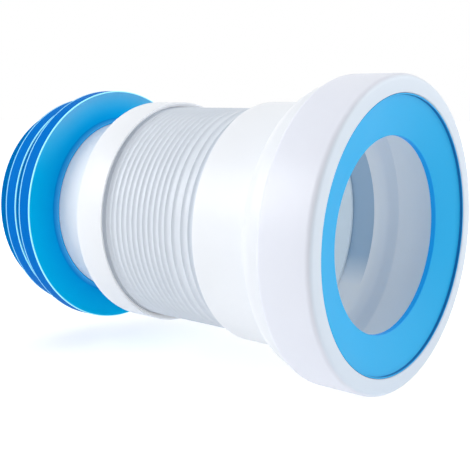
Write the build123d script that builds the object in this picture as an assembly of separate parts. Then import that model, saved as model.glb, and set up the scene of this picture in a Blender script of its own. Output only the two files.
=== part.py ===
"""Flexible toilet pan connector.

A short waste pipe that joins a toilet to the soil pipe behind it. At the pan end a white
socket body carries a soft blue seal, held by a snapped-on ring. A corrugated bellows lets
the connector stretch and bend. At the far end a spigot carries a soft blue sleeve with
fins that push into the soil pipe.

Every piece is turned about the X axis. The mouth faces +X, Z is up, and the origin is the
centre of the pan seal's hole, at the front of its lip. Sizes are in millimetres, and
"radius" below means the distance from the X axis.
"""

import os
from math import atan2, radians, sin, tan

from build123d import *

# Driving dimensions.

# Bellows: the pleats set the bore of the whole connector.
bellows_d = 105.2  # over the pleat ridges
pleat_depth = 1.8
pleat_pitch = 3.36  # folded pleats
pleat_floor = 0.5  # flat bottom of a folded groove
pleat_count = 17
drawn_pleat = 3  # a pleat that is drawn open, counted from the socket
drawn_extra = 1.9  # how much longer it is; the pleats beside it share half of this
pleat_wall = 0.8
collar_wall = 1.6  # plain collar at each end
near_collar_step = 0.4  # near collar stands this much proud of the ridges
near_collar_length = 9.6
far_collar_length = 12.2
collar_gap = 0.3  # radial room round a collar in its seat
collar_end_gap = 0.2  # room at the end of the far collar

# Socket body.
seat_wall = 2.1  # thinned end of the sleeve, round the bellows' near collar
seat_depth = 23.6
near_collar_depth = 11.4  # how far the bellows' near collar is pushed into the sleeve
sleeve_length = 28.3  # from the sleeve's end to the foot of the shoulder
body_wall = 3.0
shoulder_height = 8.4  # from sleeve to bell
shoulder_angle = 55.0  # degrees from the axis
shoulder_foot_round = 4.0
shoulder_crown_round = 6.5
bell_length = 28.3  # from the top of the shoulder to the bell's front face
bell_band_height = 1.2  # thicker band round the mouth, for the ring to catch behind

# Pan seal.
seal_hole_d = 84.0  # relaxed, for outlets of 97 to 107
seal_dish = 4.1  # depth of the hole behind the back of the ring's front lip
seal_sheet = 2.5  # along the axis
seal_rim = 3.5  # thickness of the clamped rim
seal_upstand = 0.7  # thin wall that lines the ring's mouth
seal_upstand_drop = 0.3  # its edge lies this far below the ring's front face
seal_gap = 0.1  # radial room round the upstand

# Retaining ring.
ring_gap = 0.3  # radial room round the bell
ring_wall = 1.9
ring_face = 1.6
ring_overlap = 5.6  # how far the front lip covers the seal
ring_length = 25.1
ring_back_lip = 2.2
ring_catch_gap = 0.2  # between the back lip and the bell's band
ring_front_round = 2.5
ring_back_round = 2.5

# Spigot.
cuff_wall = 2.1
cuff_depth = 15.2  # inside depth, over the bellows' far collar
cuff_back = 2.6
cuff_round = 1.5
stub_wall = 1.6  # inner ring that keeps the collar round
stub_length = 8.0
cuff_step = 10.5  # from the outside of the cuff to the outside of the pipe
spigot_wall = 2.6
spigot_bare_length = 24.8  # pipe that shows between cuff and seal
spigot_setback = 1.0  # pipe end inside the seal's nose

# Finned seal.
sleeve_gap = 0.1
sleeve_wall = 2.5
fin_height = 16.2  # first fin, above the pipe
fin_drop = 4.0  # each next fin is this much lower
fin_pitch = 17.0
fin_collar = 2.1  # tapered end of the sleeve in front of the first fin
fin_collar_edge = 0.7  # sleeve wall at the front of the taper
fin_lean = 1.2  # how far a fin's face falls back from root to edge
fin_web = 2.8
fin_lip_length = 7.0
fin_lip_wall = 2.2
nose_length = 5.5

# Radii that follow from them, from the bellows outwards.
ridge_r = bellows_d / 2
groove_r = ridge_r - pleat_depth
near_collar_r = ridge_r + near_collar_step
seat_r = near_collar_r + collar_gap
sleeve_r = seat_r + seat_wall
bell_r = sleeve_r + shoulder_height
band_r = bell_r + bell_band_height
ring_inner_r = band_r + ring_gap
ring_r = ring_inner_r + ring_wall
ring_mouth_r = band_r - ring_overlap
upstand_r = ring_mouth_r - seal_gap
upstand_inner_r = upstand_r - seal_upstand
seal_hole_r = seal_hole_d / 2
cuff_inner_r = ridge_r + collar_gap
cuff_r = cuff_inner_r + cuff_wall
stub_r = ridge_r - collar_wall - collar_gap
spigot_r = cuff_r - cuff_step
bore_r = spigot_r - spigot_wall
sleeve_bore_r = spigot_r + sleeve_gap
fin_root_r = sleeve_bore_r + sleeve_wall

# Length of each pleat, from the socket to the cuff.
pleat_pitches = []
for pleat in range(pleat_count):
    share = max(0, 1 - abs(pleat - drawn_pleat) / 2)
    pleat_pitches.append(pleat_pitch + share * drawn_extra)

# Places along the axis, from the mouth to the far end.
ring_back_x = seal_dish
ring_front_x = ring_back_x + ring_face
ring_end_x = ring_front_x - ring_length
upstand_x = ring_front_x - seal_upstand_drop
band_end_x = ring_end_x + ring_back_lip + ring_catch_gap
bell_front_x = seal_dish - seal_rim
crown_x = bell_front_x - bell_length
foot_x = crown_x - shoulder_height / tan(radians(shoulder_angle))
sleeve_end_x = foot_x - sleeve_length
seat_x = sleeve_end_x + seat_depth
bellows_near_x = sleeve_end_x + near_collar_depth
first_pleat_x = bellows_near_x - near_collar_length
last_pleat_x = first_pleat_x - sum(pleat_pitches)
bellows_far_x = last_pleat_x - far_collar_length
cuff_floor_x = bellows_far_x - collar_end_gap
cuff_front_x = cuff_floor_x + cuff_depth
cuff_back_x = cuff_floor_x - cuff_back
seal_front_x = cuff_back_x - spigot_bare_length
first_fin_x = seal_front_x - fin_collar
nose_x = first_fin_x - 2 * fin_pitch
seal_end_x = nose_x - fin_lean - nose_length
spigot_end_x = seal_end_x + spigot_setback


def section(*corners):
    """Closed outline from (x, radius) corners, or (x, radius, rounding) where one is rounded."""
    points = [corner[:2] for corner in corners]
    rounds = [corner[2] if len(corner) > 2 else 0 for corner in corners]
    return make_face(FilletPolyline(*points, radius=rounds, close=True))


def turned(outline):
    """The solid that an outline sweeps about the X axis."""
    return revolve(outline, Axis.X)


def socket_body():
    """Bell, shoulder and sleeve in one even wall, with a thicker band round the mouth."""
    half_turn = tan(radians(shoulder_angle / 2))
    shift = body_wall * half_turn
    # The inside rounding at the foot ends on the wall in front of the seat's step.
    flat_wall = foot_x + shift - seat_x
    inner_foot_round = min(shoulder_foot_round + body_wall, 0.9 * flat_wall / half_turn)
    inner_crown_round = shoulder_crown_round - body_wall
    return turned(section(
        (sleeve_end_x, sleeve_r),
        (foot_x, sleeve_r, shoulder_foot_round),
        (crown_x, bell_r, shoulder_crown_round),
        (band_end_x, bell_r),
        (band_end_x, band_r),
        (bell_front_x, band_r),
        (bell_front_x, bell_r - body_wall),
        (crown_x + shift, bell_r - body_wall, inner_crown_round),
        (foot_x + shift, sleeve_r - body_wall, inner_foot_round),
        (seat_x, sleeve_r - body_wall),
        (seat_x, seat_r),
        (sleeve_end_x, seat_r),
    ))


def retaining_ring():
    """Ring with a front lip over the seal and a back lip behind the bell's band."""
    return turned(section(
        (ring_back_x, ring_mouth_r),
        (ring_front_x, ring_mouth_r),
        (ring_front_x, ring_r, ring_front_round),
        (ring_end_x, ring_r, ring_back_round),
        (ring_end_x, bell_r + ring_gap),
        (ring_end_x + ring_back_lip, bell_r + ring_gap),
        (ring_end_x + ring_back_lip, ring_inner_r),
        (ring_back_x, ring_inner_r),
    ))


def pan_seal():
    """Soft dished sheet with a round hole, a rim clamped behind the ring, and an upstand in its mouth."""
    slope = seal_dish / (upstand_inner_r - seal_hole_r)
    rim_foot_r = seal_hole_r + (bell_front_x + seal_sheet) / slope
    return turned(section(
        (0, seal_hole_r),
        (seal_dish, upstand_inner_r),
        (upstand_x, upstand_inner_r),
        (upstand_x, upstand_r),
        (ring_back_x, upstand_r),
        (ring_back_x, band_r),
        (bell_front_x, band_r),
        (bell_front_x, rim_foot_r),
        (-seal_sheet, seal_hole_r),
    ))


def bellows():
    """Ridges and flat-bottomed grooves of even wall between two plain collars."""
    flank = (pleat_pitch - pleat_floor) / 2
    wall_drop = pleat_wall / sin(atan2(flank, pleat_depth))
    folds = []
    x = first_pleat_x
    for pitch in pleat_pitches:
        folds += [(x - flank, groove_r), (x - pitch + flank, groove_r), (x - pitch, ridge_r)]
        x -= pitch
    folds.pop()
    inner_folds = [(x, r - wall_drop) for x, r in reversed(folds)]
    return turned(section(
        (bellows_near_x, near_collar_r),
        (first_pleat_x, near_collar_r),
        *folds,
        (last_pleat_x, ridge_r),
        (bellows_far_x, ridge_r),
        (bellows_far_x, ridge_r - collar_wall),
        (last_pleat_x, ridge_r - collar_wall),
        *inner_folds,
        (first_pleat_x, near_collar_r - collar_wall),
        (bellows_near_x, near_collar_r - collar_wall),
    ))


def spigot():
    """Cuff with a groove for the bellows' collar, and the narrower pipe behind it."""
    return turned(section(
        (cuff_front_x, cuff_r),
        (cuff_back_x, cuff_r, cuff_round),
        (cuff_back_x, spigot_r, cuff_round),
        (spigot_end_x, spigot_r),
        (spigot_end_x, bore_r),
        (cuff_floor_x, bore_r),
        (cuff_floor_x, stub_r - stub_wall),
        (cuff_floor_x + stub_length, stub_r - stub_wall),
        (cuff_floor_x + stub_length, stub_r),
        (cuff_floor_x, stub_r),
        (cuff_floor_x, cuff_inner_r),
        (cuff_front_x, cuff_inner_r),
    ))


def fin(root_x, edge_r):
    """Outline of one fin: a leaning web with a lip that trails towards the far end."""
    edge_x = root_x - fin_lean
    return section(
        (root_x, sleeve_bore_r),
        (edge_x, edge_r),
        (edge_x - fin_lip_length, edge_r),
        (edge_x - fin_lip_length, edge_r - fin_lip_wall),
        (edge_x - fin_web, edge_r - fin_lip_wall),
        (root_x - fin_web, fin_root_r),
        (root_x - fin_web, sleeve_bore_r),
    )


def finned_seal():
    """Soft sleeve with two lipped fins, each lower than the last, and a tapered nose fin."""
    edge_r = spigot_r + fin_height
    sleeve = section(
        (seal_front_x, sleeve_bore_r),
        (seal_front_x, sleeve_bore_r + fin_collar_edge),
        (first_fin_x, fin_root_r),
        (seal_end_x, fin_root_r),
        (seal_end_x, sleeve_bore_r),
    )
    nose = section(
        (nose_x, sleeve_bore_r),
        (nose_x - fin_lean, edge_r - 2 * fin_drop),
        (seal_end_x, fin_root_r),
        (seal_end_x, sleeve_bore_r),
    )
    first_fin = fin(first_fin_x, edge_r)
    second_fin = fin(first_fin_x - fin_pitch, edge_r - fin_drop)
    return turned(sleeve + first_fin + second_fin + nose)


pieces = {
    "socket_body": socket_body,
    "retaining_ring": retaining_ring,
    "pan_seal": pan_seal,
    "bellows": bellows,
    "spigot": spigot,
    "finned_seal": finned_seal,
}

os.makedirs("parts", exist_ok=True)
for name, make in pieces.items():
    export_step(make(), f"parts/{name}.step")
    print("wrote", name)
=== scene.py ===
# %% [markdown]
# # A flexible toilet pan connector
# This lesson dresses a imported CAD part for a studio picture. The part is a short waste
# pipe: a white socket with a soft blue seal at the toilet's end, a grey corrugated bellows
# in the middle, and a white spigot with soft blue fins that push into the soil pipe.
# Everything is round about the X axis, so every piece here is made in the same way: its
# outline is drawn once and spun about that axis, as on a lathe.

# %% Load the frame
import math

import bmesh
import bpy
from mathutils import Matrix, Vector


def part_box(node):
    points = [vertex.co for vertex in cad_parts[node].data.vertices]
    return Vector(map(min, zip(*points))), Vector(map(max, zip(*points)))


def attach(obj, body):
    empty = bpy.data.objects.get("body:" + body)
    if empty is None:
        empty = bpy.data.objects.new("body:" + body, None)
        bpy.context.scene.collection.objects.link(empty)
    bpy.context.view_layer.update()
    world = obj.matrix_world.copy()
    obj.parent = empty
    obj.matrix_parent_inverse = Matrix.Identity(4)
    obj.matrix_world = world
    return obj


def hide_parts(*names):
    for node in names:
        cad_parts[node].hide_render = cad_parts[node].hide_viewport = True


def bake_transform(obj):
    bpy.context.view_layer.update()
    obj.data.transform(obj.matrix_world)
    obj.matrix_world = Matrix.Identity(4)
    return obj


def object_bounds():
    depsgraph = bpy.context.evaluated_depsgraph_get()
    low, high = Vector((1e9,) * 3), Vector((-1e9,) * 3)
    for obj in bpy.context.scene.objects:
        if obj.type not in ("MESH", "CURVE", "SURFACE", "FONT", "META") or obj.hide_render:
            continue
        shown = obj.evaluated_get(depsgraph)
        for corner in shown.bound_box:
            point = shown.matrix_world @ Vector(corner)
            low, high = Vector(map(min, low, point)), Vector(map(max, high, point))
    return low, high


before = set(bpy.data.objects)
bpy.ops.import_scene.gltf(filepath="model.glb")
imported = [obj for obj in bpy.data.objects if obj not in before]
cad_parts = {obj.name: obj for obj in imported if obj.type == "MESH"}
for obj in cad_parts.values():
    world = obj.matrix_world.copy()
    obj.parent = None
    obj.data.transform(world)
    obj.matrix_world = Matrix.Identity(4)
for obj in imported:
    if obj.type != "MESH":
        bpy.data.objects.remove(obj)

cad_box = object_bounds()
print("CAD box (m):", [[round(v, 4) for v in corner] for corner in cad_box])

# %% [markdown]
# ## Places along the pipe
# Each piece takes its two ends from its CAD node, so the dressed model stays in line with
# the frame it rides on. Sizes below are in millimetres. X is positive towards the toilet,
# and a radius is the distance from the X axis.

# %% Ends of each piece
MM = 0.001


def ends(node):
    """Where a CAD node ends along the X axis, the far end first, in mm."""
    low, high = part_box(node)
    return round(low[0] / MM, 2), round(high[0] / MM, 2)


ring_end_x, ring_front_x = ends("retaining_ring")
sleeve_end_x, bell_front_x = ends("socket_body")
seal_back_x, upstand_x = ends("pan_seal")
bellows_far_x, bellows_near_x = ends("bellows")
spigot_end_x, cuff_front_x = ends("spigot")
fins_end_x, fins_front_x = ends("finned_seal")
print("ring", ring_end_x, ring_front_x, "sleeve", sleeve_end_x, "fins", fins_end_x, fins_front_x)

# %% [markdown]
# ## Drawing an outline and turning it
# A moulded ring is easiest to read as its cross-section. Each outline below is a list of
# corners, (x, radius, rounding). A cylinder primitive could be cut and stretched into each
# form, but a drawn outline keeps every wall thickness in sight. The steps are those of a
# modeller at the keyboard: one vertex is extruded from corner to corner, the loop is closed,
# each corner is beveled to its rounding, and Spin sweeps the loop about the X axis.

# %% Starting an outline
def start_outline(name, corner):
    """Add a plane, collapse it to one vertex and move that to the first corner."""
    bpy.ops.object.select_all(action="DESELECT")
    bpy.ops.mesh.primitive_plane_add(size=MM)
    piece = bpy.context.active_object
    piece.name = name
    piece.data.name = name
    bpy.ops.object.mode_set(mode="EDIT")
    bpy.ops.mesh.merge(type="CENTER")
    bpy.ops.transform.translate(value=(corner[0] * MM, 0, corner[1] * MM))
    return piece


def to_micrometre(x, radius):
    """A spot on an outline, rounded so that equal spots compare as equal."""
    return round(x, 3), round(radius, 3)


def select_spots(piece, spots):
    """Select the outline's vertices that lie on the given (x, radius) spots."""
    wanted = {to_micrometre(x, radius) for x, radius in spots}
    mesh = bmesh.from_edit_mesh(piece.data)
    for vertex in mesh.verts:
        vertex.select = to_micrometre(vertex.co.x / MM, vertex.co.z / MM) in wanted
    mesh.select_flush_mode()
    bmesh.update_edit_mesh(piece.data)


# %% Rounding its corners
WIDE_ROUND = 1.5
WIDE_SEGMENTS, SMALL_SEGMENTS = 8, 4


def corner_setback(before, corner, after):
    """How far along its sides a corner's rounding begins, in mm."""
    into = Vector((corner[0] - before[0], corner[1] - before[1]))
    out_of = Vector((after[0] - corner[0], after[1] - corner[1]))
    return corner[2] * math.tan(into.angle(out_of) / 2)


def round_corners(piece, corners):
    """Bevel the outline's rounded corners, all of one setback in one go."""
    groups = {}
    for i, corner in enumerate(corners):
        if len(corner) > 2:
            setback = corner_setback(corners[i - 1], corner, corners[(i + 1) % len(corners)])
            segments = WIDE_SEGMENTS if corner[2] > WIDE_ROUND else SMALL_SEGMENTS
            groups.setdefault((round(setback, 3), segments), []).append(corner[:2])
    for (setback, segments), spots in groups.items():
        select_spots(piece, spots)
        bpy.ops.mesh.bevel(offset=setback * MM, segments=segments, affect="VERTICES")


# %% Turning it
TURN_STEPS = 192
WELD_WITHIN = 0.002
SMOOTH_BELOW = math.radians(32)


def turn_piece(name, corners):
    """A closed ring-shaped piece: the outline spun a full turn about the X axis."""
    piece = start_outline(name, corners[0])
    for here, there in zip(corners, corners[1:]):
        step = ((there[0] - here[0]) * MM, 0, (there[1] - here[1]) * MM)
        bpy.ops.mesh.extrude_region_move(TRANSFORM_OT_translate={"value": step})
    select_spots(piece, [corners[0][:2], corners[-1][:2]])
    bpy.ops.mesh.edge_face_add()
    round_corners(piece, corners)
    bpy.ops.mesh.select_all(action="SELECT")
    bpy.ops.mesh.spin(steps=TURN_STEPS, angle=math.tau, center=(0, 0, 0), axis=(1, 0, 0))
    bpy.ops.mesh.select_all(action="SELECT")
    bpy.ops.mesh.remove_doubles(threshold=WELD_WITHIN * MM)
    bpy.ops.mesh.normals_make_consistent(inside=False)
    bpy.ops.object.mode_set(mode="OBJECT")
    bpy.ops.object.shade_smooth_by_angle(angle=SMOOTH_BELOW)
    print(name, "faces:", len(piece.data.polygons), "corners drawn:", len(corners))
    return piece


# %% [markdown]
# ## Socket body
# One white polypropylene moulding: a bell for the toilet's outlet, a sloping shoulder, and
# a sleeve that takes the end of the bellows. The mould gives the outside soft radii at the
# shoulder. Inside, the bell is thicker and meets the shoulder in a crisp line, and the
# shoulder flows into the sleeve. A band round the mouth lets the ring snap on.

# %% Socket sizes
SLEEVE_R, SEAT_R = 55.4, 53.3
BELL_R, BAND_R = 63.8, 65.0
BELL_WALL, SHOULDER_WALL, SLEEVE_WALL = 4.4, 1.95, 3.0
BELL_LENGTH, SEAT_DEPTH = 28.3, 23.6
SHOULDER_ANGLE = math.radians(55)
FOOT_ROUND, CROWN_ROUND = 4.0, 6.5
INNER_FOOT_ROUND, INNER_CROWN_ROUND = 7.0, 0.9
SLEEVE_EDGE_ROUND, SEAT_EDGE_ROUND = 0.7, 0.5
CRISP_ROUND = 0.3
RING_LIP, CATCH_GAP = 2.2, 0.2

crown_x = bell_front_x - BELL_LENGTH
foot_x = crown_x - (BELL_R - SLEEVE_R) / math.tan(SHOULDER_ANGLE)
band_end_x = ring_end_x + RING_LIP + CATCH_GAP
seat_x = sleeve_end_x + SEAT_DEPTH
bell_inner_r, sleeve_inner_r = BELL_R - BELL_WALL, SLEEVE_R - SLEEVE_WALL
print("shoulder from", round(foot_x, 2), "to", round(crown_x, 2))
print("seat ends at", round(seat_x, 2))


# %% Socket body
def inner_shoulder_x(radius):
    """Where the inside of the shoulder's slope passes a radius."""
    drop = SHOULDER_WALL / math.cos(SHOULDER_ANGLE)
    return crown_x + (radius - BELL_R + drop) / math.tan(SHOULDER_ANGLE)


socket_outline = [
    (sleeve_end_x, SLEEVE_R, SLEEVE_EDGE_ROUND),
    (foot_x, SLEEVE_R, FOOT_ROUND),
    (crown_x, BELL_R, CROWN_ROUND),
    (band_end_x, BELL_R, CRISP_ROUND),
    (band_end_x, BAND_R, CRISP_ROUND),
    (bell_front_x, BAND_R, CRISP_ROUND),
    (bell_front_x, bell_inner_r, CRISP_ROUND),
    (inner_shoulder_x(bell_inner_r), bell_inner_r, INNER_CROWN_ROUND),
    (inner_shoulder_x(sleeve_inner_r), sleeve_inner_r, INNER_FOOT_ROUND),
    (seat_x, sleeve_inner_r, CRISP_ROUND),
    (seat_x, SEAT_R),
    (sleeve_end_x, SEAT_R, SEAT_EDGE_ROUND),
]
socket_shell = turn_piece("socket_shell", socket_outline)
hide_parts("socket_body")
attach(socket_shell, "pan_end")

# %% [markdown]
# ## Retaining ring
# A separate white ring that snaps over the bell's band and holds the seal. Its front edge
# is rounded so that it can be gripped, and its back edge turns in behind the band.

# %% Retaining ring
RING_R, RING_INNER_R, RING_MOUTH_R = 67.2, 65.3, 59.4
RING_FACE, RING_GAP = 1.6, 0.3
RING_ROUND, RING_MOUTH_ROUND = 2.5, 0.5
EASED_ROUND = 0.4

ring_back_x = ring_front_x - RING_FACE
ring_outline = [
    (ring_back_x, RING_MOUTH_R, CRISP_ROUND),
    (ring_front_x, RING_MOUTH_R, RING_MOUTH_ROUND),
    (ring_front_x, RING_R, RING_ROUND),
    (ring_end_x, RING_R, RING_ROUND),
    (ring_end_x, BELL_R + RING_GAP, EASED_ROUND),
    (ring_end_x + RING_LIP, BELL_R + RING_GAP, EASED_ROUND),
    (ring_end_x + RING_LIP, RING_INNER_R, EASED_ROUND),
    (ring_back_x, RING_INNER_R, EASED_ROUND),
]
snap_ring = turn_piece("snap_ring", ring_outline)
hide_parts("retaining_ring")
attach(snap_ring, "pan_end")

# %% [markdown]
# ## Pan seal
# A soft blue ring, dished inwards so that the toilet's outlet pushes it tighter. Its rim is
# clamped behind the ring, a thin upstand lines the ring's mouth, and the hole has a wall
# that shows as a darker line, in painted shade. Those edges are rounded by only a few tenths
# of a millimetre.

# %% Pan seal
HOLE_R, HOLE_FRONT_X = 42.0, 0.0
UPSTAND_R, UPSTAND_INNER_R = 59.3, 58.6
UPSTAND_ROUND, UPSTAND_FOOT_ROUND = 0.25, 0.05
RIM_FOOT_ROUND = 0.6

dish_slope = ring_back_x / (UPSTAND_INNER_R - HOLE_R)
rim_foot_r = HOLE_R + (bell_front_x - seal_back_x) / dish_slope
seal_outline = [
    (HOLE_FRONT_X, HOLE_R, EASED_ROUND),
    (ring_back_x, UPSTAND_INNER_R, CRISP_ROUND),
    (upstand_x, UPSTAND_INNER_R, UPSTAND_ROUND),
    (upstand_x, UPSTAND_R, UPSTAND_ROUND),
    (ring_back_x, UPSTAND_R, UPSTAND_FOOT_ROUND),
    (ring_back_x, BAND_R, EASED_ROUND),
    (bell_front_x, BAND_R, EASED_ROUND),
    (bell_front_x, rim_foot_r, RIM_FOOT_ROUND),
    (seal_back_x, HOLE_R, EASED_ROUND),
]
mouth_seal = turn_piece("mouth_seal", seal_outline)
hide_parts("pan_seal")
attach(mouth_seal, "pan_end")

# %% [markdown]
# ## Bellows
# A blown grey polyethylene tube with sharp ridges and scooped grooves between them, and a
# plain collar at each end. Most pleats are folded, and three near the socket are drawn open,
# so their grooves run level in the middle. The inside follows the outside at an even drop.
# The tube stretches at one joint and bends at another, and a piece can bend across one joint
# only, so it is made as two pieces that meet in the floor of a groove.

# %% Places of the ridges
PLEAT_PITCH, PLEAT_COUNT = 3.36, 17
DRAWN_PLEAT, DRAWN_SPREAD, DRAWN_EXTRA = 3, 2, 1.9
NEAR_COLLAR_R, NEAR_COLLAR_LENGTH = 53.0, 9.6
SPLIT_PLEAT = 7

first_pleat_x = bellows_near_x - NEAR_COLLAR_LENGTH
ridges = [first_pleat_x]
for pleat in range(PLEAT_COUNT):
    share = max(0, 1 - abs(pleat - DRAWN_PLEAT) / DRAWN_SPREAD)
    ridges.append(ridges[-1] - PLEAT_PITCH - share * DRAWN_EXTRA)
split_x = (ridges[SPLIT_PLEAT] + ridges[SPLIT_PLEAT + 1]) / 2
print("ridges at", [round(x, 1) for x in ridges], "split at", round(split_x, 2))

# %% Pleat outline
RIDGE_R, PLEAT_DIP = 52.6, 0.9
RIDGE_ROUND = 0.2
SCOOP = (0.25, 0.5, 0.75, 1.0)
SAME_PLACE = 0.01


def groove(near, far):
    """One scooped groove: it falls from a ridge, runs level if drawn open, and rises again."""
    fall = [(near - t * PLEAT_PITCH / 2, RIDGE_R - PLEAT_DIP * t * (2 - t)) for t in SCOOP]
    rise = [(near + far - x, r) for x, r in reversed(fall)]
    return fall + [spot for spot in rise if spot[0] < fall[-1][0] - SAME_PLACE]


def pleats(drop):
    """All grooves with the ridges between them, `drop` mm below the outside."""
    outline = []
    for near, far in zip(ridges, ridges[1:]):
        outline += [(x, r - drop) for x, r in groove(near, far)]
        outline.append((far, RIDGE_R - drop, RIDGE_ROUND))
    return outline[:-1]


def near_side(outline):
    """The corners on the socket's side of the split, with the split itself."""
    return [corner for corner in outline if corner[0] > split_x - SAME_PLACE]


def far_side(outline):
    """The corners on the cuff's side of the split, with the split itself."""
    return [corner for corner in outline if corner[0] < split_x + SAME_PLACE]


# %% Bellows, near part
WALL_DROP, COLLAR_WALL = 1.0, 1.6
COLLAR_FOOT_ROUND = 0.2

near_collar_inner_r = NEAR_COLLAR_R - COLLAR_WALL
near_outside = [
    (bellows_near_x, NEAR_COLLAR_R, CRISP_ROUND),
    (first_pleat_x, NEAR_COLLAR_R, COLLAR_FOOT_ROUND),
    *near_side(pleats(0)),
]
near_inside = [
    *near_side(pleats(WALL_DROP))[::-1],
    (first_pleat_x, near_collar_inner_r, COLLAR_FOOT_ROUND),
    (bellows_near_x, near_collar_inner_r, CRISP_ROUND),
]
bellows_near = turn_piece("bellows_near", near_outside + near_inside)

# %% Bellows, far part
far_collar_inner_r = RIDGE_R - COLLAR_WALL
far_outside = [
    *far_side(pleats(0)),
    (ridges[-1], RIDGE_R),
    (bellows_far_x, RIDGE_R, CRISP_ROUND),
]
far_inside = [
    (bellows_far_x, far_collar_inner_r, CRISP_ROUND),
    (ridges[-1], far_collar_inner_r),
    *far_side(pleats(WALL_DROP))[::-1],
]
bellows_far = turn_piece("bellows_far", far_outside + far_inside)

# %% Hide the CAD bellows and bake the pieces' placing
for part in (bellows_near, bellows_far):
    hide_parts("bellows")
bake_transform(bellows_near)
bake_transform(bellows_far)

# %% [markdown]
# ## Spigot
# The white moulding at the far end: a cuff that grips the bellows' collar between its wall
# and an inner ring, and the narrower pipe that carries the fins. The cuff's back edge is
# rounded and catches a thin line of light. Its mouth is flared inside, which leaves a dark
# gap round the bellows.

# %% Spigot
CUFF_R, CUFF_INNER_R, CUFF_DEPTH, CUFF_BACK = 55.0, 52.9, 15.2, 2.6
PIPE_R, BORE_R = 44.5, 41.9
STUB_R, STUB_WALL, STUB_LENGTH = 50.7, 1.6, 8.0
FLARE_LENGTH, FLARE_LIP = 1.8, 0.7
CUFF_ROUND, PIPE_END_ROUND, BORE_ROUND = 1.5, 0.5, 0.8
FLARE_FOOT_ROUND, FLARE_LIP_ROUND = 0.5, 0.2

cuff_floor_x = cuff_front_x - CUFF_DEPTH
cuff_back_x = cuff_floor_x - CUFF_BACK
stub_x = cuff_floor_x + STUB_LENGTH
spigot_outline = [
    (cuff_front_x, CUFF_R, CRISP_ROUND),
    (cuff_back_x, CUFF_R, CUFF_ROUND),
    (cuff_back_x, PIPE_R, CUFF_ROUND),
    (spigot_end_x, PIPE_R, PIPE_END_ROUND),
    (spigot_end_x, BORE_R, BORE_ROUND),
    (cuff_floor_x, BORE_R, BORE_ROUND),
    (cuff_floor_x, STUB_R - STUB_WALL, CRISP_ROUND),
    (stub_x, STUB_R - STUB_WALL, EASED_ROUND),
    (stub_x, STUB_R, EASED_ROUND),
    (cuff_floor_x, STUB_R, CRISP_ROUND),
    (cuff_floor_x, CUFF_INNER_R, CRISP_ROUND),
    (cuff_front_x - FLARE_LENGTH, CUFF_INNER_R, FLARE_FOOT_ROUND),
    (cuff_front_x, CUFF_R - FLARE_LIP, FLARE_LIP_ROUND),
]
spigot_pipe = turn_piece("spigot_pipe", spigot_outline)
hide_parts("spigot")
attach(spigot_pipe, "soil_end")

# %% [markdown]
# ## Finned seal
# A soft blue sleeve pushed on the pipe. Two fins have a leaning web and a lip that trails
# backwards, each lower than the one before, and a tapered nose leads them into the soil
# pipe. Soft mouldings have generous inside corners, so the webs flow into the sleeve. Extra
# rings of vertices lie beside a fin's edges, to keep their painted highlight in a narrow line.

# %% One fin
FIN_SLEEVE_R, FIN_BORE_R = 47.1, 44.6
FIN_WEB, FIN_LEAN = 2.8, 1.2
LIP_LENGTH, LIP_WALL = 8.4, 2.2
WEB_FOOT_ROUND, WEB_BACK_ROUND = 1.0, 1.2
FIN_EDGE_ROUND, LIP_BACK_ROUND, LIP_INNER_ROUND = 0.4, 0.6, 0.8
EDGE_LINE, LIP_LINE, LINE_FADE = 0.6, 1.1, 0.2


def fin_corners(root_x, edge_r):
    """A fin from the foot of its near face, over its lip, to the foot of its far face."""
    edge_x = root_x - FIN_LEAN
    lip_end_x = edge_x - LIP_LENGTH
    lean_at_line = FIN_LEAN * EDGE_LINE / (edge_r - FIN_SLEEVE_R)
    return [
        (root_x, FIN_SLEEVE_R, WEB_FOOT_ROUND),
        (edge_x + lean_at_line, edge_r - EDGE_LINE),
        (edge_x, edge_r, FIN_EDGE_ROUND),
        (edge_x - EDGE_LINE, edge_r),
        (lip_end_x + LIP_LINE + LINE_FADE, edge_r),
        (lip_end_x + LIP_LINE, edge_r),
        (lip_end_x, edge_r, FIN_EDGE_ROUND),
        (lip_end_x, edge_r - LIP_WALL, LIP_BACK_ROUND),
        (edge_x - FIN_WEB, edge_r - LIP_WALL, LIP_INNER_ROUND),
        (root_x - FIN_WEB, FIN_SLEEVE_R, WEB_BACK_ROUND),
    ]


# %% Finned seal
COLLAR_TAPER, COLLAR_EDGE = 2.1, 0.7
FIN_EDGE_R, FIN_DROP = 60.7, 4.0
FIN_PITCH, NOSE_PITCH = 16.2, 17.8
COLLAR_BORE_ROUND, NOSE_END_ROUND = 0.2, 0.6

first_fin = (fins_front_x - COLLAR_TAPER, FIN_EDGE_R)
second_fin = (first_fin[0] - FIN_PITCH, FIN_EDGE_R - FIN_DROP)
nose_x = second_fin[0] - NOSE_PITCH
nose_edge = (nose_x - FIN_LEAN, FIN_EDGE_R - 2 * FIN_DROP)
fin_outline = [
    (fins_front_x, FIN_BORE_R, COLLAR_BORE_ROUND),
    (fins_front_x, FIN_BORE_R + COLLAR_EDGE, CRISP_ROUND),
    *fin_corners(*first_fin),
    *fin_corners(*second_fin),
    (nose_x, FIN_SLEEVE_R, WEB_BACK_ROUND),
    (*nose_edge, FIN_EDGE_ROUND),
    (fins_end_x, FIN_SLEEVE_R, NOSE_END_ROUND),
    (fins_end_x, FIN_BORE_R, NOSE_END_ROUND),
]
fin_sleeve = turn_piece("fin_sleeve", fin_outline)
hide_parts("finned_seal")
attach(fin_sleeve, "soil_end")

# %% [markdown]
# ## Marks for the materials
# A moulding's colour isn't even all over: thin edges let light through, and deep corners
# stay in the shade. Such places are kept as numbers on each vertex, which the materials
# read. They could be painted by hand, but the pieces are round, so a place along the
# outline, or the way a vertex faces, is enough to tell.

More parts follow.
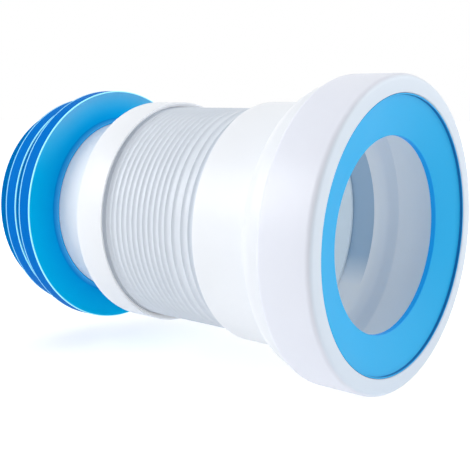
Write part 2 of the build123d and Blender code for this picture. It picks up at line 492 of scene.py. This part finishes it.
# %% Mark helpers
def set_mark(piece, mark, rule):
    """Give each vertex a number under the mark's name, as rule(vertex) says."""
    values = piece.data.attributes.new(mark, "FLOAT", "POINT").data
    for vertex in piece.data.vertices:
        values[vertex.index].value = float(rule(vertex))
    marked = sum(v.value > 0 for v in values)
    print(piece.name, mark, "on", marked, "of", len(values), "vertices")


def axis_distance(vertex):
    """A vertex's distance from the X axis, in mm."""
    return math.hypot(vertex.co.y, vertex.co.z) / MM


def faces_axis(vertex):
    """True for vertices on the inside of a pipe."""
    return vertex.normal.y * vertex.co.y + vertex.normal.z * vertex.co.z < 0


def near_rings(spots, reach):
    """A rule for vertices within `reach` mm of any of the (x, radius) rings."""
    def rule(vertex):
        x, radius = vertex.co.x / MM, axis_distance(vertex)
        return min(math.hypot(x - spot[0], radius - spot[1]) for spot in spots) < reach
    return rule


# %% [markdown]
# ### Marks on the blue pieces
# The thin edges of the fins get a painted highlight and a painted glow, and read as pale lines.
# The sleeve ends on the pipe in a weaker one. The tops of the fins' near faces carry a painted
# sheen that fades towards the root and down the sides. The wall of the seal's hole gets a weak
# painted glow.

# %% Painted highlights on the fins' edges
NEAR_EDGE_REACH, FAR_EDGE_REACH = 0.45, 0.19
COLLAR_PAINTED_HIGHLIGHT = 0.15
near_edges = [(root_x - FIN_LEAN, edge_r) for root_x, edge_r in (first_fin, second_fin)]
far_edges = [(x - LIP_LENGTH + along, edge_r)
             for x, edge_r in near_edges for along in (0, LIP_LINE)]
on_near_edge = near_rings(near_edges, NEAR_EDGE_REACH)
on_far_edge = near_rings(far_edges, FAR_EDGE_REACH)
on_collar_edge = near_rings([(fins_front_x, FIN_BORE_R + COLLAR_EDGE)], NEAR_EDGE_REACH)


def fin_painted_highlight(vertex):
    """Painted highlight on the thin edges of the fins, and a weaker one where the sleeve ends on
    the pipe.
    """
    if on_near_edge(vertex) or on_far_edge(vertex):
        return 1
    return COLLAR_PAINTED_HIGHLIGHT * on_collar_edge(vertex)


# Painted highlight on the fins' edges.
set_mark(fin_sleeve, "painted_edge_highlight", fin_painted_highlight)

# %% Painted sheen on the fins, and painted glow in the seal's hole
PAINTED_SHEEN_FROM, PAINTED_SHEEN_RISE = 18.0, 30.0
PAINTED_SHEEN_REACH, HOLE_REACH = 0.12, 0.1
edge_lines = [fin_corners(*fin)[1] for fin in (first_fin, second_fin)]
beside_near_edge = near_rings(edge_lines, PAINTED_SHEEN_REACH)


def fin_painted_sheen(vertex):
    """Painted sheen on the outer part of a fin's near face, from part way up to the top."""
    height = min(1, max(0, (vertex.co.z / MM - PAINTED_SHEEN_FROM) / PAINTED_SHEEN_RISE))
    return height * beside_near_edge(vertex)


def on_hole_wall(vertex):
    """The wall of the seal's hole, which gets a painted glow."""
    return axis_distance(vertex) < HOLE_R + HOLE_REACH


set_mark(fin_sleeve, "painted_sheen", fin_painted_sheen)
# Painted glow on the wall of the seal's hole.
set_mark(mouth_seal, "inside", on_hole_wall)

# %% [markdown]
# ### Marks on the white and grey pieces
# The inside of the pipe gets a painted glow, in place of the light that the walls let through,
# and the cuff's thin lip twice as much as the rest of the spigot; the foot of the spigot's
# pipe gets it too. The empty end of the seat behind the shoulder doesn't: it gets painted
# shade in a blue-grey, which fades out low down.

# %% Socket marks
SEAT_SLACK = 0.05
SHADE_LOW, SHADE_RISE = -34.0, 14.0


def seat_painted_shade(vertex):
    """How much painted shade a vertex gets in the empty end of the seat, less low down."""
    before_end = vertex.co.x / MM < seat_x + SEAT_SLACK
    if not (before_end and axis_distance(vertex) > SEAT_R - SEAT_SLACK and faces_axis(vertex)):
        return 0
    return min(1, max(0, (vertex.co.z / MM - SHADE_LOW) / SHADE_RISE))


def socket_painted_glow(vertex):
    """Painted glow on the inside of the socket, less the painted shade at the end of the seat."""
    return faces_axis(vertex) - seat_painted_shade(vertex)


set_mark(socket_shell, "inside", socket_painted_glow)
# Painted shade at the empty end of the seat.
set_mark(socket_shell, "painted_recess_shade", seat_painted_shade)

# %% Bellows and spigot marks
COLLAR_FRONT, FLARE_MARGIN = 0.2, 0.5
PAINTED_LIP_GLOW = 2.0


def collar_painted_glow(vertex):
    """Painted glow on the inside of the near bellows and on the front edge of its collar."""
    return faces_axis(vertex) or vertex.co.x / MM > bellows_near_x - COLLAR_FRONT


def pipe_painted_glow(vertex):
    """Painted glow on the inside of the spigot, most at the cuff's thin lip, and on the foot of
    its pipe.
    """
    x, radius = vertex.co.x / MM, axis_distance(vertex)
    if faces_axis(vertex) and x > cuff_front_x - FLARE_LENGTH - FLARE_MARGIN:
        return PAINTED_LIP_GLOW
    at_foot = abs(x - cuff_back_x) < 2 * CUFF_ROUND and radius < PIPE_R + CUFF_ROUND
    return faces_axis(vertex) or at_foot


# Painted glow on the bellows and the spigot.
set_mark(bellows_near, "inside", collar_painted_glow)
set_mark(bellows_far, "inside", faces_axis)
set_mark(spigot_pipe, "inside", pipe_painted_glow)

# %% [markdown]
# ## Materials
# One function turns an sRGB hex colour into the linear colour that a shader wants, and one
# adds a node, sets it and links it. Pattern sizes are given in millimetres: a noise texture
# of scale 1 has features about one metre across on Object coordinates.

# %% Material helpers
def colour(hex_code):
    """sRGB hex to linear RGBA."""
    parts = [int(hex_code[i:i + 2], 16) / 255 for i in (1, 3, 5)]
    return (*[p / 12.92 if p <= 0.04045 else ((p + 0.055) / 1.055) ** 2.4 for p in parts], 1.0)


def add_node(tree, kind, inputs=None, **settings):
    """Add a node, set its properties, and set or link its inputs."""
    node = tree.nodes.new(kind)
    for name, value in settings.items():
        setattr(node, name, value)
    for name, value in (inputs or {}).items():
        if isinstance(value, bpy.types.NodeSocket):
            tree.links.new(value, node.inputs[name])
        else:
            node.inputs[name].default_value = value
    return node


def new_material(name):
    """An empty node tree with an output, and the Object coordinates to read patterns from."""
    material = bpy.data.materials.new(name)
    material.use_nodes = True
    tree = material.node_tree
    tree.nodes.clear()
    output = add_node(tree, "ShaderNodeOutputMaterial")
    place = add_node(tree, "ShaderNodeTexCoord").outputs["Object"]
    return material, tree, output, place


def scale_for(size_mm):
    """Texture scale whose features are about this many millimetres across."""
    return 1 / (size_mm * MM)


# %% [markdown]
# ### Satin skin
# All three plastics leave their moulds with a satin skin: a fine grain from the steel, and
# gloss that varies a little in faint clouds, where the plastic flowed. Real mould grain is
# about 0.1 mm; it is drawn at 0.5 to 0.8 mm, so that it shows in the render.

# %% Satin skin helpers
def satin_skin(tree, place, clouds, gloss, grain_mm, detail, strength, depth_mm):
    """Roughness that follows the clouds between two values, and normals with mould grain."""
    roughness = add_node(tree, "ShaderNodeMapRange",
                         {"Value": clouds, "To Min": gloss[0], "To Max": gloss[1]})
    grain = add_node(tree, "ShaderNodeTexNoise",
                     {"Vector": place, "Scale": scale_for(grain_mm), "Detail": detail})
    bump = add_node(tree, "ShaderNodeBump",
                    {"Height": grain.outputs["Fac"], "Strength": strength,
                     "Distance": depth_mm * MM})
    return roughness.outputs["Result"], bump.outputs["Normal"]


def along_pipe(tree):
    """How far the surface faces along X, from -1 to 1."""
    geometry = add_node(tree, "ShaderNodeNewGeometry")
    normal = add_node(tree, "ShaderNodeSeparateXYZ", {"Vector": geometry.outputs["Normal"]})
    return normal.outputs["X"]


# %% [markdown]
# ### Moulded polypropylene
# White with a cool tint and a soft gloss, very faintly clouded. The inside gets a weak, warm
# painted glow, in place of the daylight that the thin wall passes, and the end of the seat a
# painted shade in blue-grey. The ring is a moulding of its own, and its white is a little
# bluer than that of the socket and the spigot. Faces that look along the pipe are painted a
# bluer white as painted shade, most of all on the ring's front face, beside the blue seal.

# %% White polypropylene
WHITE_CLOUDS, WHITE_GLOSS = 30, (0.34, 0.44)
FRONT_FROM, FRONT_TO = 0.6, 0.95
SEAT_PAINTED_SHADE_BLUE, PAINTED_GLOW_TINT, PAINTED_WALL_GLOW = "#B9D0E4", "#FFF6EA", 0.07
LIGHT_DEPTH = 3


def moulded_polypropylene(name, hexes, painted_front_shade_hex):
    """Satin white plastic, clouded between two near whites, with painted shade in a bluer white
    on faces that look along the pipe.
    """
    material, tree, output, place = new_material(name)
    clouds = add_node(tree, "ShaderNodeTexNoise",
                      {"Vector": place, "Scale": scale_for(WHITE_CLOUDS), "Detail": 2.0})
    tint = add_node(tree, "ShaderNodeMix",
                    {"Factor": clouds.outputs["Fac"],
                     "A": colour(hexes[0]), "B": colour(hexes[1])}, data_type="RGBA")
    # Painted shade: faces that look along the pipe get a bluer white.
    in_front = add_node(tree, "ShaderNodeMapRange",
                        {"Value": along_pipe(tree), "From Min": FRONT_FROM, "From Max": FRONT_TO})
    faced = add_node(tree, "ShaderNodeMix",
                     {"Factor": in_front.outputs["Result"],
                      "A": tint.outputs["Result"], "B": colour(painted_front_shade_hex)}, data_type="RGBA")
    # Painted shade: the empty end of the seat is mixed towards a blue-grey.
    painted_recess_shade = add_node(tree, "ShaderNodeAttribute", attribute_name="painted_recess_shade")
    shaded = add_node(tree, "ShaderNodeMix",
                      {"Factor": painted_recess_shade.outputs["Fac"],
                       "A": faced.outputs["Result"], "B": colour(SEAT_PAINTED_SHADE_BLUE)}, data_type="RGBA")
    roughness, normal = satin_skin(tree, place, clouds.outputs["Fac"], WHITE_GLOSS,
                                   grain_mm=0.5, detail=1.0, strength=0.06, depth_mm=0.02)
    # Painted glow: the inside of the wall emits a weak warm light.
    inside = add_node(tree, "ShaderNodeAttribute", attribute_name="inside")
    glow = add_node(tree, "ShaderNodeMath",
                    {0: inside.outputs["Fac"], 1: PAINTED_WALL_GLOW}, operation="MULTIPLY")
    shader = add_node(tree, "ShaderNodeBsdfPrincipled",
                      {"Base Color": shaded.outputs["Result"], "Roughness": roughness,
                       "IOR": 1.49, "Normal": normal, "Subsurface Weight": 0.2,
                       "Subsurface Radius": (1.0, 1.0, 1.0), "Subsurface Scale": LIGHT_DEPTH * MM,
                       "Emission Color": colour(PAINTED_GLOW_TINT),
                       "Emission Strength": glow.outputs["Value"]})
    tree.links.new(shader.outputs["BSDF"], output.inputs["Surface"])
    print("made", name)
    return material


body_white = moulded_polypropylene("moulded_white_polypropylene",
                                   ("#F2F6FC", "#EEF2F9"), "#F0F4FA")
ring_white = moulded_polypropylene("moulded_white_polypropylene_ring",
                                   ("#ECF0FC", "#E8ECF9"), "#E4F0FF")

# %% [markdown]
# ### Blown polyethylene
# Softer and greyer than the polypropylene, with a waxy satin surface. Air presses the tube
# against its mould, so the grain is coarser. Its wall is the thinnest, so its inside gets the
# strongest painted glow, and so does the front edge of the near collar.

# %% Grey polyethylene
GREY_CLOUDS, GREY_GLOSS = 18, (0.36, 0.48)
GREY_PAINTED_GLOW_TINT, PAINTED_TUBE_GLOW = "#E8F8F8", 0.18

polyethylene, tree, output, place = new_material("blown_grey_polyethylene")
clouds = add_node(tree, "ShaderNodeTexNoise",
                  {"Vector": place, "Scale": scale_for(GREY_CLOUDS), "Detail": 3.0})
tint = add_node(tree, "ShaderNodeMix",
                {"Factor": clouds.outputs["Fac"],
                 "A": colour("#DEE5EE"), "B": colour("#D9E1EB")}, data_type="RGBA")
roughness, normal = satin_skin(tree, place, clouds.outputs["Fac"], GREY_GLOSS,
                               grain_mm=0.8, detail=2.0, strength=0.1, depth_mm=0.03)
# Painted glow on the inside and on the near collar's front edge.
inside = add_node(tree, "ShaderNodeAttribute", attribute_name="inside")
glow = add_node(tree, "ShaderNodeMath",
                {0: inside.outputs["Fac"], 1: PAINTED_TUBE_GLOW}, operation="MULTIPLY")
shader = add_node(tree, "ShaderNodeBsdfPrincipled",
                  {"Base Color": tint.outputs["Result"], "Roughness": roughness,
                   "IOR": 1.51, "Normal": normal, "Emission Color": colour(GREY_PAINTED_GLOW_TINT),
                   "Emission Strength": glow.outputs["Value"]})
tree.links.new(shader.outputs["BSDF"], output.inputs["Surface"])
print("made", polyethylene.name)

# %% [markdown]
# ### Moulded thermoplastic elastomer
# A bright blue, soft rubber with a satin skin that reflects little. The faces that look
# along the pipe are painted lighter than the rims, which carry painted shade, and lighter at
# their outer edge than at their root, where painted shade stands for the light that doesn't
# reach it. The tops of the fins' faces carry a painted sheen, and the thin edges a painted
# highlight and glow, palest of all. The fins are a deeper blue than the pan seal.

# %% Blues of the elastomer, with painted shade
CLOUD_SHIFT = 0.15
RIM_FROM, RIM_TO = 0.45, 0.92


def face_and_rim_shaded_blue(tree, place, clouds, root, edge, rim_shade_hex):
    """Blues that go from a root to an edge radius on faces, with painted shade at the root, and a
    darker blue of painted shade on the rims.
    """
    across = add_node(tree, "ShaderNodeVectorMath",
                      {0: place, 1: (0, 1, 1)}, operation="MULTIPLY")
    radius = add_node(tree, "ShaderNodeVectorMath",
                      {0: across.outputs["Vector"]}, operation="LENGTH")
    # Painted shade: faces are darker at their root than at their edge.
    outward = add_node(tree, "ShaderNodeMapRange",
                       {"Value": radius.outputs["Value"],
                        "From Min": root[0] * MM, "From Max": edge[0] * MM})
    clouded = add_node(tree, "ShaderNodeMapRange",
                       {"Value": clouds, "To Min": -CLOUD_SHIFT, "To Max": CLOUD_SHIFT})
    outward_clouded = add_node(tree, "ShaderNodeMath",
                               {0: outward.outputs["Result"], 1: clouded.outputs["Result"]},
                               operation="ADD", use_clamp=True)
    face_blue = add_node(tree, "ShaderNodeMix",
                         {"Factor": outward_clouded.outputs["Value"],
                          "A": colour(root[1]), "B": colour(edge[1])}, data_type="RGBA")
    # Painted shade: surfaces that face outwards, the rims, get a darker blue.
    facing = add_node(tree, "ShaderNodeMath", {0: along_pipe(tree)}, operation="ABSOLUTE")
    rim_part = add_node(tree, "ShaderNodeMapRange",
                        {"Value": facing.outputs["Value"], "From Min": RIM_FROM,
                         "From Max": RIM_TO, "To Min": 1.0, "To Max": 0.0})
    both = add_node(tree, "ShaderNodeMix",
                    {"Factor": rim_part.outputs["Result"],
                     "A": face_blue.outputs["Result"], "B": colour(rim_shade_hex)}, data_type="RGBA")
    return both.outputs["Result"]


# %% Blue elastomer
BLUE_CLOUDS, BLUE_GLOSS = 22, (0.38, 0.5)
PAINTED_SHEEN_BLUE, PAINTED_HIGHLIGHT_BLUE, HOLE_PAINTED_GLOW_BLUE = "#68BAEC", "#A6F2FF", "#00A6FF"
PAINTED_SHEEN_POWER, PAINTED_EDGE_GLOW = 2.0, 0.38


def moulded_elastomer(name, root, edge, rim_shade_hex, shine):
    """Soft rubber with (radius in mm, blue) at root and edge, a rim blue of painted shade, a
    painted sheen and painted edge highlights.
    """
    material, tree, output, place = new_material(name)
    clouds = add_node(tree, "ShaderNodeTexNoise",
                      {"Vector": place, "Scale": scale_for(BLUE_CLOUDS), "Detail": 2.0})
    body_blue = face_and_rim_shaded_blue(tree, place, clouds.outputs["Fac"], root, edge, rim_shade_hex)
    # Painted sheen on the tops of the fins' near faces, paler higher up.
    painted_sheen = add_node(tree, "ShaderNodeAttribute", attribute_name="painted_sheen")
    painted_sheen_fall = add_node(tree, "ShaderNodeMath",
                         {0: painted_sheen.outputs["Fac"], 1: PAINTED_SHEEN_POWER}, operation="POWER")
    sheen_painted_blue = add_node(tree, "ShaderNodeMix",
                          {"Factor": painted_sheen_fall.outputs["Value"],
                           "A": body_blue, "B": colour(PAINTED_SHEEN_BLUE)}, data_type="RGBA")
    # Painted highlight on the fins' thin edges, mixed into the base colour.
    pale = add_node(tree, "ShaderNodeAttribute", attribute_name="painted_edge_highlight")
    blue = add_node(tree, "ShaderNodeMix",
                    {"Factor": pale.outputs["Fac"],
                     "A": sheen_painted_blue.outputs["Result"], "B": colour(PAINTED_HIGHLIGHT_BLUE)}, data_type="RGBA")
    roughness, normal = satin_skin(tree, place, clouds.outputs["Fac"], BLUE_GLOSS,
                                   grain_mm=0.6, detail=1.0, strength=0.08, depth_mm=0.03)
    # Painted glow: the edge highlights and the seal's hole wall emit light of their own.
    through = add_node(tree, "ShaderNodeMix",
                       {"Factor": pale.outputs["Fac"],
                        "A": colour(HOLE_PAINTED_GLOW_BLUE), "B": colour(PAINTED_HIGHLIGHT_BLUE)}, data_type="RGBA")
    inside = add_node(tree, "ShaderNodeAttribute", attribute_name="inside")
    marked = add_node(tree, "ShaderNodeMath",
                      {0: pale.outputs["Fac"], 1: inside.outputs["Fac"]}, operation="MAXIMUM")
    glow = add_node(tree, "ShaderNodeMath",
                    {0: marked.outputs["Value"], 1: PAINTED_EDGE_GLOW}, operation="MULTIPLY")
    shader = add_node(tree, "ShaderNodeBsdfPrincipled",
                      {"Base Color": blue.outputs["Result"], "Roughness": roughness,
                       "IOR": 1.5, "Specular IOR Level": shine, "Normal": normal,
                       "Emission Color": through.outputs["Result"],
                       "Emission Strength": glow.outputs["Value"]})
    tree.links.new(shader.outputs["BSDF"], output.inputs["Surface"])
    print("made", name)
    return material


seal_elastomer = moulded_elastomer("moulded_blue_elastomer_seal", (HOLE_R, "#10B8F8"),
                                   (UPSTAND_R, "#12B9F8"), "#0074B4", shine=0.3)
fin_elastomer = moulded_elastomer("moulded_blue_elastomer_fins", (FIN_SLEEVE_R, "#00A5EC"),
                                  (FIN_EDGE_R, "#00BEF9"), "#0072CE", shine=0.01)

# %% Put the materials on
for piece, material in (
    (socket_shell, body_white), (snap_ring, ring_white), (spigot_pipe, body_white),
    (bellows_near, polyethylene), (bellows_far, polyethylene),
    (mouth_seal, seal_elastomer), (fin_sleeve, fin_elastomer),
):
    piece.data.materials.clear()
    piece.data.materials.append(material)
    print(piece.name, "is", material.name)

# %% [markdown]
# ## Floor, light and camera
# A product picture on white: a glowing light-table floor that keeps a soft shadow near the
# part and fades to white away from it, a pale surround, and softboxes at the sides. The
# side towards the camera stays a little darker than the left and the right, which draws the
# grey lines along the rounded edges. The part is held at its mouth, so the floor lies a
# little below it and leaves room for the far end to swing down. Only the camera, reflections
# and clear parts see the full white of the floor and the surround, so that the white does
# not flood the part with light.

# %% Rays that see the full white
def sees_white(tree):
    """1 for rays of the camera, of reflections and through clear parts, and 0 for others."""
    path = add_node(tree, "ShaderNodeLightPath")
    seen = add_node(tree, "ShaderNodeMath",
                    {0: path.outputs["Is Camera Ray"], 1: path.outputs["Is Glossy Ray"]},
                    operation="MAXIMUM")
    seen_all = add_node(tree, "ShaderNodeMath",
                        {0: seen.outputs["Value"], 1: path.outputs["Is Transmission Ray"]},
                        operation="MAXIMUM")
    return seen_all.outputs["Value"]


# %% Floor
SWING_ROOM = 8.0
FLOOR_SIZE, TABLE_WHITE = 8.0, "#F7F7F7"
TABLE_GLOW = 0.12
NEAR_LIFT, FAR_LIFT = 0.3, 0.7
NEAR_REACH, FAR_REACH = 0.25, 0.7

floor_z = cad_box[0][2] - SWING_ROOM * MM
bpy.ops.object.select_all(action="DESELECT")
bpy.ops.mesh.primitive_plane_add(size=FLOOR_SIZE, location=(0, 0, floor_z))
floor = bpy.context.active_object
floor.name = "studio_floor"
floor_paint, tree, output, place = new_material("white_light_table")
paint = add_node(tree, "ShaderNodeBsdfDiffuse", {"Color": colour(TABLE_WHITE)})
away = add_node(tree, "ShaderNodeVectorMath", {0: place}, operation="LENGTH")
fade = add_node(tree, "ShaderNodeMapRange",
                {"Value": away.outputs["Value"], "From Min": NEAR_REACH, "From Max": FAR_REACH,
                 "To Min": TABLE_GLOW + NEAR_LIFT, "To Max": TABLE_GLOW + FAR_LIFT})
lift = add_node(tree, "ShaderNodeMapRange",
                {"Value": sees_white(tree), "To Min": TABLE_GLOW,
                 "To Max": fade.outputs["Result"]})
glow = add_node(tree, "ShaderNodeEmission", {"Strength": lift.outputs["Result"]})
both = add_node(tree, "ShaderNodeAddShader",
                {0: paint.outputs["BSDF"], 1: glow.outputs["Emission"]})
tree.links.new(both.outputs["Shader"], output.inputs["Surface"])
floor.data.materials.append(floor_paint)
print("floor at", round(floor_z, 4), "m")

# %% Surround
SURROUND, FULL_WHITE = 0.41, 1.0
world = bpy.data.worlds.new("white_surround")
bpy.context.scene.world = world
world.use_nodes = True
tree = world.node_tree
tree.nodes.clear()
level = add_node(tree, "ShaderNodeMapRange",
                 {"Value": sees_white(tree), "To Min": SURROUND, "To Max": FULL_WHITE})
sky = add_node(tree, "ShaderNodeBackground",
               {"Color": colour("#FFFFFF"), "Strength": level.outputs["Result"]})
add_node(tree, "ShaderNodeOutputWorld", {"Surface": sky.outputs["Background"]})
print("surround lights at", SURROUND)

# %% Softboxes
AIM = Vector((-0.08, 0, 0))


def softbox(name, place, size, watts):
    """A square area lamp at a place, turned to the middle of the pipe."""
    bpy.ops.object.light_add(type="AREA", location=place)
    lamp = bpy.context.active_object
    lamp.name = name
    lamp.data.size = size
    lamp.data.energy = watts
    lamp.rotation_euler = (AIM - Vector(place)).to_track_quat("-Z", "Y").to_euler()
    print(name, "at", place, watts, "W")


softbox("left_softbox", (-0.75, -0.75, 0.45), size=0.6, watts=5.5)
softbox("right_softbox", (0.75, 0.75, 0.5), size=0.8, watts=5.1)
softbox("top_softbox", (-0.1, -0.1, 1.1), size=1.0, watts=3.1)

# %% Camera
CAMERA_PLACE = (0.1741, -0.3123, 0.0573)
CAMERA_VIEW = (-0.629, 0.7608, -0.1596)
SENSOR_WIDTH, FOCAL_LENGTH = 36.0, 65.1
CLIP_START = 0.01

bpy.ops.object.camera_add(location=CAMERA_PLACE)
camera = bpy.context.active_object
camera.rotation_euler = Vector(CAMERA_VIEW).to_track_quat("-Z", "Y").to_euler()
camera.data.sensor_width = SENSOR_WIDTH
camera.data.lens = FOCAL_LENGTH
camera.data.clip_start = CLIP_START
bpy.context.scene.camera = camera
bpy.context.scene.view_settings.view_transform = "Standard"
print("camera at", CAMERA_PLACE, "with a lens of", FOCAL_LENGTH, "mm")
